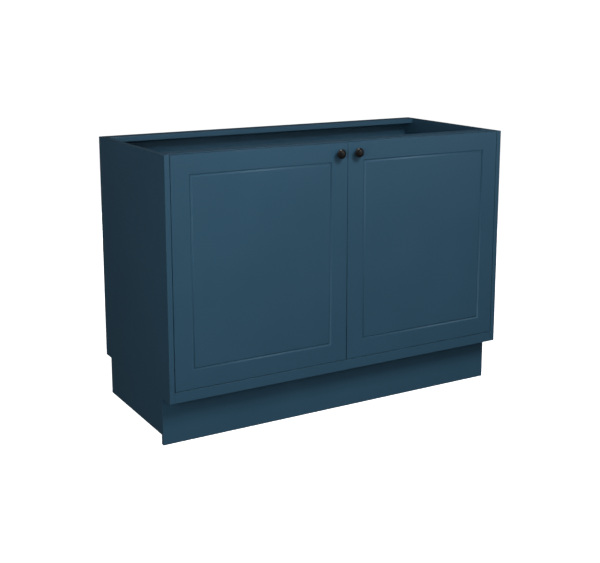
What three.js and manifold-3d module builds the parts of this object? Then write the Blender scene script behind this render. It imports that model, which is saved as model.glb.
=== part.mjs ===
// Bathroom vanity base cabinet with two inset doors on concealed hinges, standing on screw-adjusted legs.
// +X is to the right as the doors are faced, +Y runs back to the wall and +Z is up, in millimetres.
// The origin is on the floor, at the middle of the width and of the depth over the knobs.
import * as THREE from "three";
import { ConvexGeometry } from "three/addons/geometries/ConvexGeometry.js";
import { mergeVertices } from "three/addons/utils/BufferGeometryUtils.js";
import Module from "manifold-3d";

// Driving dimensions of the carcass.
const WIDTH = 1200;
const DEPTH = 518;
const HEIGHT = 865;
const BOARD = 16;
const FIT = 0.3; // gap kept between pieces that touch
const PAST = 1; // how far a cutter runs past the face that it opens
const KNOB_REACH = 24; // how far the knobs stand in front of the doors
const FRONT = (KNOB_REACH - DEPTH) / 2; // front plane of the doors and the carcass
const BACK = FRONT + DEPTH;
const INNER = WIDTH / 2 - BOARD; // inner face of a side panel
const TOE_HEIGHT = 145;
const PLINTH_SETBACK = 56.5;
const PLINTH_THICKNESS = 12;
const SIDE_LIFT = 30; // side panels stop this far above the floor
const SKIRTING_DEPTH = 42;
const SKIRTING_HEIGHT = 148;
const BACK_THICKNESS = 3;
const BACK_REBATE = 8;
const STRIP_HEIGHT = 32; // strip under the doors
const RAIL_DEPTH = 50;
const FRONT_RAIL_SETBACK = 24;

// Driving dimensions of the doors and their knobs.
const DOOR_GAP = 2;
const DOOR_THICKNESS = 20;
const DOOR_TOP_CLEARANCE = 1;
const DOOR_EDGE_CHAMFER = 1.5;
const GROOVE_INSET = 60;
const GROOVE_DEPTH = 4; // half its width, so that both walls slope at 45 degrees
const KNOB_RADIUS = 15;
const KNOB_INSET = 31;
const KNOB_DROP = 33;
const DOOR_BOTTOM = TOE_HEIGHT + STRIP_HEIGHT + DOOR_GAP;
const DOOR_TOP = HEIGHT - DOOR_TOP_CLEARANCE;
const DOOR_WIDTH = INNER - DOOR_GAP * 1.5;

// Driving dimensions of the concealed hinges: distances in from the side panel's inner face, then back from
// the front plane, of the pivots that the two links turn on.
const HINGE_END_DISTANCE = 95;
const CUP_EDGE_DISTANCE = 22.5;
const CUP_BORE_RADIUS = 17.5;
const CUP_BORE_DEPTH = 12.8;
const ARM_PIVOT_OUTER = [51.9, 49.7];
const CUP_PIVOT_OUTER = [17.3, 17];
const ARM_PIVOT_INNER = [58, 26.5];
const CUP_PIVOT_INNER = [23.7, 16.3];
const OPEN_PIVOT_PLAY = 1.9; // clearance of the inner link round its cup pin
const HINGE_PIN_RADIUS = 1.4;

// Driving dimensions of the legs.
const LEG_SIDE_INSET = 75;
const LEG_FRONT_SETBACK = 108;
const LEG_REAR_SETBACK = 425;
const LEG_TUBE_RADIUS = 15;

const ROUND = 14; // sides of a small turned piece
const HOLE_SIDES = 6;

const cabinet = new THREE.Group();

const paint = () => new THREE.MeshStandardMaterial({ color: 0x2e4d62, roughness: 0.45, metalness: 0 });
const nickel = () => new THREE.MeshStandardMaterial({ color: 0xb9bbb8, roughness: 0.3, metalness: 1 });
const zinc = () => new THREE.MeshStandardMaterial({ color: 0x9da3a8, roughness: 0.42, metalness: 1 });
const bronze = () => new THREE.MeshStandardMaterial({ color: 0x1a1512, roughness: 0.35, metalness: 0.7 });
const legPlastic = () => new THREE.MeshStandardMaterial({ color: 0x17181a, roughness: 0.6, metalness: 0 });
const softPlastic = () => new THREE.MeshStandardMaterial({ color: 0xd9dcdc, roughness: 0.35, metalness: 0 });

function add(name, geometry, material, parent = cabinet) {
  const mesh = new THREE.Mesh(geometry, material);
  mesh.name = name;
  parent.add(mesh);
  return mesh;
}

// A box between two opposite corners.
function box(low, high) {
  const size = high.map((value, axis) => value - low[axis]);
  const geometry = new THREE.BoxGeometry(...size);
  return geometry.translate(...low.map((value, axis) => value + size[axis] / 2));
}

// An upright round bar on the point (x, y).
function bar(radius, x, y, bottom, top, sides = ROUND) {
  const geometry = new THREE.CylinderGeometry(radius, radius, top - bottom, sides);
  return geometry.rotateX(Math.PI / 2).translate(x, y, (top + bottom) / 2);
}

// An outline of [across, along] points, with round holes of [across, along, radius], extruded upwards.
function plateUp(outline, bottom, top, holes = []) {
  const shape = new THREE.Shape(outline.map(([a, b]) => new THREE.Vector2(a, b)));
  for (const [a, b, radius] of holes) {
    const hole = new THREE.Path();
    hole.absarc(a, b, radius, 0, Math.PI * 2, true);
    shape.holes.push(hole);
  }
  const options = { depth: top - bottom, bevelEnabled: false, curveSegments: HOLE_SIDES };
  return new THREE.ExtrudeGeometry(shape, options).translate(0, 0, bottom);
}

// An outline of [y, z] points extruded along X, from one x to the next.
function plateAcross(outline, start, end) {
  const shape = new THREE.Shape(outline.map(([y, z]) => new THREE.Vector2(y, z)));
  const geometry = new THREE.ExtrudeGeometry(shape, { depth: end - start, bevelEnabled: false });
  const turn = new THREE.Matrix4().makeBasis(
    new THREE.Vector3(0, 1, 0),
    new THREE.Vector3(0, 0, 1),
    new THREE.Vector3(1, 0, 0),
  );
  return geometry.applyMatrix4(turn).translate(start, 0, 0);
}

// A turned piece about an upright axis, from a closed profile of [radius, height] points.
function turned(profile, sides = ROUND) {
  const points = profile.map(([radius, height]) => new THREE.Vector2(radius, height));
  return new THREE.LatheGeometry(points, sides).rotateX(Math.PI / 2);
}

// Boolean work: closed geometry in, one closed geometry out.
const wasm = await Module();
wasm.setup();

function solid(geometry) {
  const bare = geometry.clone();
  bare.deleteAttribute("normal");
  bare.deleteAttribute("uv");
  const merged = mergeVertices(bare, 1e-3);
  const vertProperties = new Float32Array(merged.attributes.position.array);
  const triVerts = new Uint32Array(merged.index.array);
  return new wasm.Manifold(new wasm.Mesh({ numProp: 3, vertProperties, triVerts }));
}

function shaped(base, joined, removed = []) {
  let result = solid(base);
  for (const piece of joined) result = result.add(solid(piece));
  for (const piece of removed) result = result.subtract(solid(piece));
  const mesh = result.getMesh();
  const geometry = new THREE.BufferGeometry();
  geometry.setAttribute("position", new THREE.BufferAttribute(mesh.vertProperties, 3));
  geometry.setIndex(new THREE.BufferAttribute(mesh.triVerts, 1));
  geometry.computeVertexNormals();
  return geometry;
}

// The two ends of everything that comes in a left and a right hand: the sign of x.
const SIDES = { left: -1, right: 1 };

// Side panels: toe-kick cut-out in front, skirting notch and a rebate for the back panel behind.
const toeBack = FRONT + PLINTH_SETBACK + PLINTH_THICKNESS + FIT;
const sideOutline = [
  [FRONT, TOE_HEIGHT],
  [toeBack, TOE_HEIGHT],
  [toeBack, SIDE_LIFT],
  [BACK - SKIRTING_DEPTH, SIDE_LIFT],
  [BACK - SKIRTING_DEPTH, SKIRTING_HEIGHT],
  [BACK, SKIRTING_HEIGHT],
  [BACK, HEIGHT],
  [FRONT, HEIGHT],
];
for (const [hand, sign] of Object.entries(SIDES)) {
  const faces = [sign * INNER, (sign * WIDTH) / 2].sort((a, b) => a - b);
  const rebate = [sign * (INNER + BACK_REBATE), sign * (INNER - PAST)].sort((a, b) => a - b);
  const rebateFront = BACK - BACK_THICKNESS - FIT;
  const cut = box(
    [rebate[0], rebateFront, SKIRTING_HEIGHT - PAST],
    [rebate[1], BACK + PAST, HEIGHT + PAST],
  );
  add(`side_panel_${hand}`, shaped(plateAcross(sideOutline, ...faces), [], [cut]), paint());
}

// Boards between the side panels.
const between = INNER - FIT;
const floorTop = TOE_HEIGHT + STRIP_HEIGHT;
const stripBack = FRONT + DOOR_THICKNESS;
const panelFront = BACK - BACK_THICKNESS;
add("bottom_front_rail", box([-between, FRONT, TOE_HEIGHT], [between, stripBack, floorTop]), paint());
add(
  "bottom_panel",
  box([-between, stripBack + FIT, floorTop - BOARD], [between, panelFront - FIT, floorTop]),
  paint(),
);
add(
  "front_top_rail",
  box(
    [-between, FRONT + FRONT_RAIL_SETBACK, HEIGHT - BOARD],
    [between, FRONT + FRONT_RAIL_SETBACK + RAIL_DEPTH, HEIGHT],
  ),
  paint(),
);
add(
  "back_top_rail",
  box([-between, BACK - RAIL_DEPTH, HEIGHT - BOARD], [between, panelFront - FIT, HEIGHT]),
  paint(),
);
const backHalf = INNER + BACK_REBATE - FIT;
add("back_panel", box([-backHalf, panelFront, SKIRTING_HEIGHT], [backHalf, BACK, HEIGHT]), paint());

// Plinth board, clipped in front of the legs and standing on the floor.
const plinthFront = FRONT + PLINTH_SETBACK;
const plinthBack = plinthFront + PLINTH_THICKNESS;
const PLINTH_CLEARANCE = 1; // under the strip
const plinthTop = TOE_HEIGHT - PLINTH_CLEARANCE;
add("plinth_board", box([-WIDTH / 2, plinthFront, 0], [WIDTH / 2, plinthBack, plinthTop]), paint());

// Legs: a socket screwed up under the cabinet floor, a tube pushed into it, and a foot whose stem screws
// into the tube. Heights are above the floor.
const SOCKET_FLANGE = 5;
const SOCKET_FLANGE_RADIUS = 33;
const SOCKET_FLARE = 12; // height over which the socket widens to its flange
const SOCKET_BOTTOM = 118;
const SOCKET_WALL = 3;
const TUBE_BOTTOM = 16;
const TUBE_WALL = 2.6;
const FOOT_RADIUS = 26;
const FOOT_RIM = 6;
const FOOT_SHOULDER = 13;
const STEM_TOP = 84;
const STEM_PLAY = 0.5;
const legTop = floorTop - BOARD - FIT;
const flangeBottom = legTop - SOCKET_FLANGE;
const tubeBore = LEG_TUBE_RADIUS - TUBE_WALL;
const socketBore = LEG_TUBE_RADIUS + FIT;
const stemRadius = tubeBore - STEM_PLAY;
const socketProfile = [
  [0, legTop],
  [0, flangeBottom],
  [socketBore, flangeBottom],
  [socketBore, SOCKET_BOTTOM],
  [socketBore + SOCKET_WALL, SOCKET_BOTTOM],
  [socketBore + SOCKET_WALL, flangeBottom - SOCKET_FLARE],
  [SOCKET_FLANGE_RADIUS, flangeBottom],
  [SOCKET_FLANGE_RADIUS, legTop],
  [0, legTop],
];
const tubeProfile = [
  [tubeBore, TUBE_BOTTOM],
  [LEG_TUBE_RADIUS, TUBE_BOTTOM],
  [LEG_TUBE_RADIUS, flangeBottom - FIT],
  [tubeBore, flangeBottom - FIT],
  [tubeBore, TUBE_BOTTOM],
];
const footProfile = [
  [0, 0],
  [FOOT_RADIUS, 0],
  [FOOT_RADIUS, FOOT_RIM],
  [LEG_TUBE_RADIUS, FOOT_SHOULDER],
  [LEG_TUBE_RADIUS, TUBE_BOTTOM - FIT],
  [stemRadius, TUBE_BOTTOM - FIT],
  [stemRadius, STEM_TOP],
  [0, STEM_TOP],
];
const legColumns = { left: LEG_SIDE_INSET - INNER, middle: 0, right: INNER - LEG_SIDE_INSET };
const legRows = { front: FRONT + LEG_FRONT_SETBACK, rear: FRONT + LEG_REAR_SETBACK };
for (const [row, y] of Object.entries(legRows)) {
  for (const [column, x] of Object.entries(legColumns)) {
    const leg = new THREE.Group();
    leg.position.set(x, y, 0);
    cabinet.add(leg);
    add(`leg_${row}_${column}_socket`, turned(socketProfile), legPlastic(), leg);
    add(`leg_${row}_${column}_tube`, turned(tubeProfile), legPlastic(), leg);
    add(`leg_${row}_${column}_foot`, turned(footProfile), legPlastic(), leg);
  }
}

// Plinth clips: a plate on the back of the plinth board and a springy open ring round each outer front leg.
const CLIP_HEIGHT = 14;
const CLIP_MIDDLE = 84;
const CLIP_WALL = 2.5;
const CLIP_PLATE_HALF = 20;
const CLIP_PLATE_THICKNESS = 3;
const CLIP_NECK_HALF = 5;
const CLIP_MOUTH_HALF = 11;
const CLIP_MOUTH_START = 5; // behind the leg's middle
const CLIP_SIDES = 32;
const clipRing = LEG_TUBE_RADIUS + FIT + CLIP_WALL;
const clipReach = legRows.front - plinthBack - FIT;
for (const hand of Object.keys(SIDES)) {
  const clip = new THREE.Group();
  clip.position.set(legColumns[hand], legRows.front, CLIP_MIDDLE - CLIP_HEIGHT / 2);
  cabinet.add(clip);
  const plateBack = CLIP_PLATE_THICKNESS - clipReach;
  const neckBack = -LEG_TUBE_RADIUS - CLIP_WALL / 2;
  const plate = box([-CLIP_PLATE_HALF, -clipReach, 0], [CLIP_PLATE_HALF, plateBack, CLIP_HEIGHT]);
  const neck = box([-CLIP_NECK_HALF, -clipReach, 0], [CLIP_NECK_HALF, neckBack, CLIP_HEIGHT]);
  const ring = bar(clipRing, 0, 0, 0, CLIP_HEIGHT, CLIP_SIDES);
  const hole = bar(LEG_TUBE_RADIUS + FIT, 0, 0, -PAST, CLIP_HEIGHT + PAST, CLIP_SIDES);
  const mouth = box(
    [-CLIP_MOUTH_HALF, CLIP_MOUTH_START, -PAST],
    [CLIP_MOUTH_HALF, clipRing + PAST, CLIP_HEIGHT + PAST],
  );
  add(`plinth_clip_${hand}`, shaped(ring, [neck, plate], [hole, mouth]), legPlastic(), clip);
}

// Doors: slabs with a V groove routed all round, two hinge cup bores and a knob screw hole. Each is drawn
// in a group at its hinge edge, with x running from that edge to the meeting edge.
const hingeHeights = {
  upper: DOOR_TOP - HINGE_END_DISTANCE,
  lower: DOOR_BOTTOM + HINGE_END_DISTANCE,
};
const KNOB_SCREW_RADIUS = 2;
const KNOB_SCREW_HOLE = 2.5;
const KNOB_SCREW_HEAD = 4.5;
const KNOB_SCREW_HEAD_HEIGHT = 2.6;
const KNOB_BORE_DEPTH = 10;
const KNOB_SIDES = 20;
const CUP_SIDES = 32;
const PIN_SIDES = 12;
const knobHeight = HEIGHT - KNOB_DROP;
const knobAcross = DOOR_WIDTH - KNOB_INSET;

// A rod along Y between two depths behind the front plane.
function rodBack(radius, x, z, start, end, sides = ROUND) {
  const geometry = new THREE.CylinderGeometry(radius, radius, end - start, sides);
  return geometry.translate(x, (start + end) / 2, z);
}

const doorOutline = [
  [DOOR_EDGE_CHAMFER, 0],
  [DOOR_WIDTH, 0],
  [DOOR_WIDTH, DOOR_THICKNESS],
  [0, DOOR_THICKNESS],
  [0, DOOR_EDGE_CHAMFER],
];

// A block whose four sides follow the door's edges, inset by one distance at one depth behind the front plane
// and by another at a second depth.
function slopingBlock(...sections) {
  const corners = sections.flatMap(([depth, inset]) =>
    [inset, DOOR_WIDTH - inset].flatMap((x) =>
      [DOOR_BOTTOM + inset, DOOR_TOP - inset].map((z) => new THREE.Vector3(x, depth, z)),
    ),
  );
  return new ConvexGeometry(corners);
}

function doorGeometry() {
  const slab = plateUp(doorOutline, DOOR_BOTTOM, DOOR_TOP);
  const outer = GROOVE_INSET - GROOVE_DEPTH;
  const inner = GROOVE_INSET + GROOVE_DEPTH;
  const groove = shaped(
    slopingBlock([-PAST, outer - PAST], [GROOVE_DEPTH, GROOVE_INSET]),
    [],
    [slopingBlock([-2 * PAST, inner + 2 * PAST], [GROOVE_DEPTH + PAST, GROOVE_INSET - PAST])],
  );
  const boreStart = DOOR_THICKNESS - CUP_BORE_DEPTH;
  const boreEnd = DOOR_THICKNESS + PAST;
  const bores = Object.values(hingeHeights).map((z) =>
    rodBack(CUP_BORE_RADIUS, CUP_EDGE_DISTANCE, z, boreStart, boreEnd, CUP_SIDES),
  );
  const screwHole = rodBack(KNOB_SCREW_HOLE, knobAcross, knobHeight, -PAST, boreEnd, PIN_SIDES);
  return shaped(slab, [], [groove, screwHole, ...bores]);
}

// Knobs: a turned mushroom with a domed head and a blind hole for its screw.
const knobProfile = [
  [0, -KNOB_BORE_DEPTH],
  [KNOB_SCREW_HOLE, -KNOB_BORE_DEPTH],
  [KNOB_SCREW_HOLE, -FIT],
  [7, -FIT],
  [6.2, -3],
  [5.4, -6],
  [7, -9],
  [12.5, -11.5],
  [KNOB_RADIUS, -14],
  [14.2, -17.5],
  [11.5, -20.8],
  [6.5, -23.2],
  [0, -KNOB_REACH],
];
const screwReach = KNOB_BORE_DEPTH - PAST / 2;
const screwProfile = [
  [0, -screwReach],
  [KNOB_SCREW_RADIUS, -screwReach],
  [KNOB_SCREW_RADIUS, DOOR_THICKNESS + FIT],
  [KNOB_SCREW_HEAD, DOOR_THICKNESS + FIT],
  [KNOB_SCREW_HEAD - 0.5, DOOR_THICKNESS + KNOB_SCREW_HEAD_HEIGHT - 0.6],
  [0, DOOR_THICKNESS + KNOB_SCREW_HEAD_HEIGHT],
];

// A piece turned about the Y axis, from [radius, depth] points that start and end on the axis.
function turnedBack(profile, sides) {
  const points = profile.map(([radius, depth]) => new THREE.Vector2(radius, depth));
  return new THREE.LatheGeometry(points, sides);
}

// Rubber pads on the doors' backs, which meet the front top rail.
const BUMPER_RADIUS = 4;
const BUMPER_INSET = 20;
const BUMPER_DROP = 8;

for (const [hand, sign] of Object.entries(SIDES)) {
  const door = new THREE.Group();
  door.position.set(sign * (INNER - DOOR_GAP), FRONT, 0);
  door.scale.x = -sign;
  cabinet.add(door);
  add(`door_${hand}`, doorGeometry(), paint(), door);
  const knob = add(`knob_${hand}`, turnedBack(knobProfile.toReversed(), KNOB_SIDES), bronze(), door);
  knob.position.set(knobAcross, 0, knobHeight);
  const screw = add(`knob_screw_${hand}`, turnedBack(screwProfile, PIN_SIDES), zinc(), door);
  screw.position.set(knobAcross, 0, knobHeight);
  const padStart = DOOR_THICKNESS + FIT;
  const padEnd = FRONT_RAIL_SETBACK - FIT;
  const padAcross = DOOR_WIDTH - BUMPER_INSET;
  const padHeight = DOOR_TOP - BUMPER_DROP;
  const pad = rodBack(BUMPER_RADIUS, padAcross, padHeight, padStart, padEnd, PIN_SIDES);
  add(`door_bumper_${hand}`, pad, softPlastic(), door);
}

// Concealed hinges. Each is drawn for the left side in a group on the side panel's inner face, with x in from
// that face, y back from the front plane and z from the hinge's middle.
const PLATE_THICKNESS = 5;
const PLATE_MIDDLE = 59; // behind the front plane: 37 mm plus the door
const PLATE_HALF_LENGTH = 24;
const PLATE_HALF_HEIGHT = 25;
const WING_HALF = 7;
const ARM_HALF = 8;
const CHEEK = 1.6;
const LINK_HALF = 2.6;
const LINK_BORE = HINGE_PIN_RADIUS + 0.12;
const MIDDLE_GAP = 0.3;
const CUP_RADIUS = CUP_BORE_RADIUS - FIT;
const CUP_WALL = 1.4;
const CUP_FLANGE = 1.2;
const CUP_FLANGE_HALF_WIDTH = 10;
const CUP_FLANGE_HALF_HEIGHT = 30;
const LINK_EYE_WALL = 1.3;
const ARM_FRONT = 36; // behind the front plane
const ARM_BACK = 83;
const ARM_BLOCK_REACH = 11; // in from the side panel
const ARM_WEB_FRONT = 66;
const ARM_WEB_REACH = 26;
const cupMiddle = DOOR_GAP + CUP_EDGE_DISTANCE;

// The cross-shaped mounting plate.
function hingePlate() {
  const outline = [
    [PLATE_MIDDLE - PLATE_HALF_LENGTH, -WING_HALF],
    [PLATE_MIDDLE - WING_HALF, -WING_HALF],
    [PLATE_MIDDLE - WING_HALF, -PLATE_HALF_HEIGHT],
    [PLATE_MIDDLE + WING_HALF, -PLATE_HALF_HEIGHT],
    [PLATE_MIDDLE + WING_HALF, -WING_HALF],
    [PLATE_MIDDLE + PLATE_HALF_LENGTH, -WING_HALF],
    [PLATE_MIDDLE + PLATE_HALF_LENGTH, WING_HALF],
    [PLATE_MIDDLE + WING_HALF, WING_HALF],
    [PLATE_MIDDLE + WING_HALF, PLATE_HALF_HEIGHT],
    [PLATE_MIDDLE - WING_HALF, PLATE_HALF_HEIGHT],
    [PLATE_MIDDLE - WING_HALF, WING_HALF],
    [PLATE_MIDDLE - PLATE_HALF_LENGTH, WING_HALF],
  ];
  return plateAcross(outline, FIT, PLATE_THICKNESS);
}

// A link's outline: a bowed bar of a given half width between its arm pivot and its cup pivot, with round
// ends. The bow carries it round the rim of the cup when the door is open.
const LINK_STEPS = 6;

function linkOutline(armPivot, cupPivot, bow, endRadius) {
  const run = [cupPivot[0] - armPivot[0], cupPivot[1] - armPivot[1]];
  const length = Math.hypot(...run);
  const along = run.map((value) => value / length);
  const side = [-along[1], along[0]];
  const place = (distance, offset) => [
    armPivot[0] + along[0] * distance + side[0] * offset,
    armPivot[1] + along[1] * distance + side[1] * offset,
  ];
  const bowAt = (share) => 4 * bow * share * (1 - share);
  const widthAt = (share) => LINK_HALF + (endRadius - LINK_HALF) * share ** 4;
  const shares = Array.from({ length: LINK_STEPS - 1 }, (_, step) => (step + 1) / LINK_STEPS);
  const cap = (distance, radius, turn) =>
    Array.from({ length: LINK_STEPS + 1 }, (_, step) => {
      const around = turn + (step * Math.PI) / LINK_STEPS;
      return place(distance + radius * Math.cos(around), radius * Math.sin(around));
    });
  return [
    ...cap(0, LINK_HALF, Math.PI / 2),
    ...shares.map((share) => place(length * share, bowAt(share) - widthAt(share))),
    ...cap(length, endRadius, -Math.PI / 2),
    ...shares.toReversed().map((share) => place(length * share, bowAt(share) + widthAt(share))),
  ];
}

function hingeLink(armPivot, cupPivot, bow, play, bottom, top) {
  const cupBore = LINK_BORE + play;
  const endRadius = Math.max(LINK_HALF, cupBore + LINK_EYE_WALL);
  const bores = [[...armPivot, LINK_BORE], [...cupPivot, cupBore]];
  return plateUp(linkOutline(armPivot, cupPivot, bow, endRadius), bottom, top, bores);
}

// The arm: a block on the mounting plate that opens into two cheeks, with a pin for each link between them.
const PIN_END = ARM_HALF - CHEEK / 2;
const armFoot = PLATE_THICKNESS + FIT;
const cheekOutline = [
  [armFoot, 46],
  [24, 50],
  [44, 42],
  [52.5, 33],
  [53, 24],
  [56, 22],
  [61, 22],
  [63.5, 26],
  [62, 44],
  [56, 56],
  [48, 61],
  [ARM_WEB_REACH, ARM_BACK],
  [armFoot, ARM_BACK],
];

function hingeArm() {
  const block = box([armFoot, ARM_FRONT, -ARM_HALF], [ARM_BLOCK_REACH, ARM_BACK, ARM_HALF]);
  const web = box(
    [ARM_BLOCK_REACH - PAST, ARM_WEB_FRONT, -ARM_HALF],
    [ARM_WEB_REACH, ARM_BACK - PAST, ARM_HALF],
  );
  const upperCheek = plateUp(cheekOutline, ARM_HALF - CHEEK, ARM_HALF);
  const lowerCheek = plateUp(cheekOutline, -ARM_HALF, CHEEK - ARM_HALF);
  const upperPin = bar(HINGE_PIN_RADIUS, ...ARM_PIVOT_OUTER, MIDDLE_GAP, PIN_END, PIN_SIDES);
  const lowerPin = bar(HINGE_PIN_RADIUS, ...ARM_PIVOT_INNER, -PIN_END, -MIDDLE_GAP, PIN_SIDES);
  return shaped(block, [web, upperCheek, lowerCheek, upperPin, lowerPin]);
}

// The cup: a pressed bowl with a screw flange on the door's back and a pin for each link across the bowl.
function hingeCup() {
  const rim = DOOR_THICKNESS + FIT + CUP_FLANGE;
  const bottom = DOOR_THICKNESS - CUP_BORE_DEPTH + FIT;
  const hollowRadius = CUP_RADIUS - CUP_WALL;
  const bowl = rodBack(CUP_RADIUS, cupMiddle, 0, bottom, rim, CUP_SIDES);
  const hollow = rodBack(hollowRadius, cupMiddle, 0, bottom + CUP_WALL, rim + PAST, CUP_SIDES);
  const flange = box(
    [cupMiddle - CUP_FLANGE_HALF_WIDTH, rim - CUP_FLANGE, -CUP_FLANGE_HALF_HEIGHT],
    [cupMiddle + CUP_FLANGE_HALF_WIDTH, rim, CUP_FLANGE_HALF_HEIGHT],
  );
  const wallAt = (across) => Math.sqrt((CUP_RADIUS - CUP_WALL / 2) ** 2 - (across - cupMiddle) ** 2);
  const outer = CUP_PIVOT_OUTER;
  const inner = CUP_PIVOT_INNER;
  const upperPin = bar(HINGE_PIN_RADIUS, ...outer, MIDDLE_GAP, wallAt(outer[0]), PIN_SIDES);
  const lowerPin = bar(HINGE_PIN_RADIUS, ...inner, -wallAt(inner[0]), -MIDDLE_GAP, PIN_SIDES);
  return shaped(shaped(bowl, [flange], [hollow]), [upperPin, lowerPin]);
}

const LINK_TOP = ARM_HALF - CHEEK - FIT;
const OUTER_BOW = 7.4;
const INNER_BOW = -3.55;
for (const [hand, sign] of Object.entries(SIDES)) {
  for (const [level, height] of Object.entries(hingeHeights)) {
    const hinge = new THREE.Group();
    hinge.position.set(sign * INNER, FRONT, height);
    hinge.scale.x = -sign;
    cabinet.add(hinge);
    const outer = hingeLink(ARM_PIVOT_OUTER, CUP_PIVOT_OUTER, OUTER_BOW, 0, MIDDLE_GAP, LINK_TOP);
    const inner = hingeLink(
      ARM_PIVOT_INNER,
      CUP_PIVOT_INNER,
      INNER_BOW,
      OPEN_PIVOT_PLAY,
      -LINK_TOP,
      -MIDDLE_GAP,
    );
    add(`hinge_${hand}_${level}_plate`, hingePlate(), nickel(), hinge);
    add(`hinge_${hand}_${level}_arm`, hingeArm(), nickel(), hinge);
    add(`hinge_${hand}_${level}_cup`, hingeCup(), nickel(), hinge);
    add(`hinge_${hand}_${level}_outer_link`, outer, nickel(), hinge);
    add(`hinge_${hand}_${level}_inner_link`, inner, nickel(), hinge);
  }
}

// Wall brackets: steel angles in the top rear corners, screwed to the side panels and through to the wall.
const BRACKET_LEG = 30;
const BRACKET_THICKNESS = 2;
const BRACKET_BOTTOM = 740;
const BRACKET_TOP = 785;
for (const [hand, sign] of Object.entries(SIDES)) {
  const bracket = new THREE.Group();
  bracket.position.set(sign * (INNER - FIT), panelFront - FIT, 0);
  bracket.scale.x = -sign;
  cabinet.add(bracket);
  const onSide = box([0, -BRACKET_LEG, BRACKET_BOTTOM], [BRACKET_THICKNESS, 0, BRACKET_TOP]);
  const onBack = box([0, -BRACKET_THICKNESS, BRACKET_BOTTOM], [BRACKET_LEG, 0, BRACKET_TOP]);
  add(`wall_bracket_${hand}`, shaped(onSide, [onBack]), zinc(), bracket);
}

export default cabinet;
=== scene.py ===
import math

import bmesh
import bpy
import numpy as np
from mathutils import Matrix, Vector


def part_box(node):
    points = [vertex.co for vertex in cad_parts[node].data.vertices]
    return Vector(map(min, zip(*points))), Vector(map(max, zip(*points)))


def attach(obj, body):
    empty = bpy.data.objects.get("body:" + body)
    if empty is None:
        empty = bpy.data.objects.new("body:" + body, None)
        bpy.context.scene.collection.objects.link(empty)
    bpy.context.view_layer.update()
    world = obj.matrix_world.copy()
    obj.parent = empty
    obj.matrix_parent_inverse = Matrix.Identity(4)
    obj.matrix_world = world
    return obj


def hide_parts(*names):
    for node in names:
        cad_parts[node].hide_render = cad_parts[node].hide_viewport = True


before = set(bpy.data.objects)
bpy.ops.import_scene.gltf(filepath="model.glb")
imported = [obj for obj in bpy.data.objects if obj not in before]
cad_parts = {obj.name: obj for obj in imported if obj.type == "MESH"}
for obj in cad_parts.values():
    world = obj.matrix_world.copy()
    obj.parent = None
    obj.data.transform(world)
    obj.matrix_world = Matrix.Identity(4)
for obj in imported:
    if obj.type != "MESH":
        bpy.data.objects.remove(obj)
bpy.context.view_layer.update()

scene = bpy.context.scene

# Camera: a long lens at chest height, to the left of the cabinet, with the frame shifted down so that the
# cabinet's upright edges stay nearly parallel.
camera_data = bpy.data.cameras.new("camera")
camera_data.sensor_width = 36.0
camera_data.lens = 63.63
camera_data.shift_x = -0.0008
camera_data.shift_y = -0.1143
camera_data.clip_end = 60.0
camera = bpy.data.objects.new("camera", camera_data)
camera.location = (-1.7343, -2.9199, 1.2592)
camera.rotation_euler = (math.radians(79.115), 0.0, math.radians(-30.385))
scene.collection.objects.link(camera)
scene.camera = camera

# Studio: a plain white floor and backdrop, and soft square lights all round, aimed at the cabinet's middle.
# Some of them only fill and the others only glint, so that the satin paint keeps its depth.
scene.view_settings.view_transform = "Standard"
world = bpy.data.worlds.new("studio")
scene.world = world
world.use_nodes = True
world.node_tree.nodes["Background"].inputs["Color"].default_value = (1.0, 1.0, 1.0, 1.0)
world.node_tree.nodes["Background"].inputs["Strength"].default_value = 0.03


def pale_surface(name):
    """A matt white surface that glows, so that it stays white under a weak light."""
    material = bpy.data.materials.new(name)
    material.use_nodes = True
    shader = material.node_tree.nodes["Principled BSDF"]
    shader.inputs["Base Color"].default_value = (0.9, 0.9, 0.9, 1.0)
    shader.inputs["Roughness"].default_value = 1.0
    shader.inputs["Specular IOR Level"].default_value = 0.0
    shader.inputs["Emission Color"].default_value = (1.0, 1.0, 1.0, 1.0)
    shader.inputs["Emission Strength"].default_value = 1.0
    return material


def stage_sheet(name, points, faces):
    """A sheet of the stage, which the object neither mirrors nor takes light from."""
    mesh = bpy.data.meshes.new(name)
    mesh.from_pydata(points.tolist(), [], faces)
    mesh.materials.append(pale_surface(f"pale_{name}"))
    sheet = bpy.data.objects.new(name, mesh)
    sheet.visible_diffuse = False
    sheet.visible_glossy = False
    scene.collection.objects.link(sheet)
    return sheet


FLOOR_RADIUS = 12.0
FLOOR_SIDES = 96
floor_turn = np.linspace(0.0, 2.0 * math.pi, FLOOR_SIDES, endpoint=False)
floor_points = FLOOR_RADIUS * np.column_stack([np.cos(floor_turn), np.sin(floor_turn), 0.0 * floor_turn])
stage_sheet("floor", floor_points, [list(range(FLOOR_SIDES))])

DOME_RADIUS = 14.0
DOME_DIP = 0.02
DOME_COLUMNS, DOME_ROWS = 65, 25
dome_turn = np.linspace(0.0, 2.0 * math.pi, DOME_COLUMNS)
dome_rise = np.linspace(-DOME_DIP, 0.5 * math.pi, DOME_ROWS)
turn_grid, rise_grid = np.meshgrid(dome_turn, dome_rise)
dome_points = DOME_RADIUS * np.stack(
    [np.cos(rise_grid) * np.cos(turn_grid), np.cos(rise_grid) * np.sin(turn_grid), np.sin(rise_grid)], -1
)
dome_index = np.arange(dome_points.size // 3).reshape(turn_grid.shape)
dome_faces = np.stack(
    [dome_index[:-1, :-1], dome_index[1:, :-1], dome_index[1:, 1:], dome_index[:-1, 1:]], -1
).reshape(-1, 4)
stage_sheet("backdrop", dome_points.reshape(-1, 3), dome_faces.tolist()).visible_shadow = False

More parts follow.
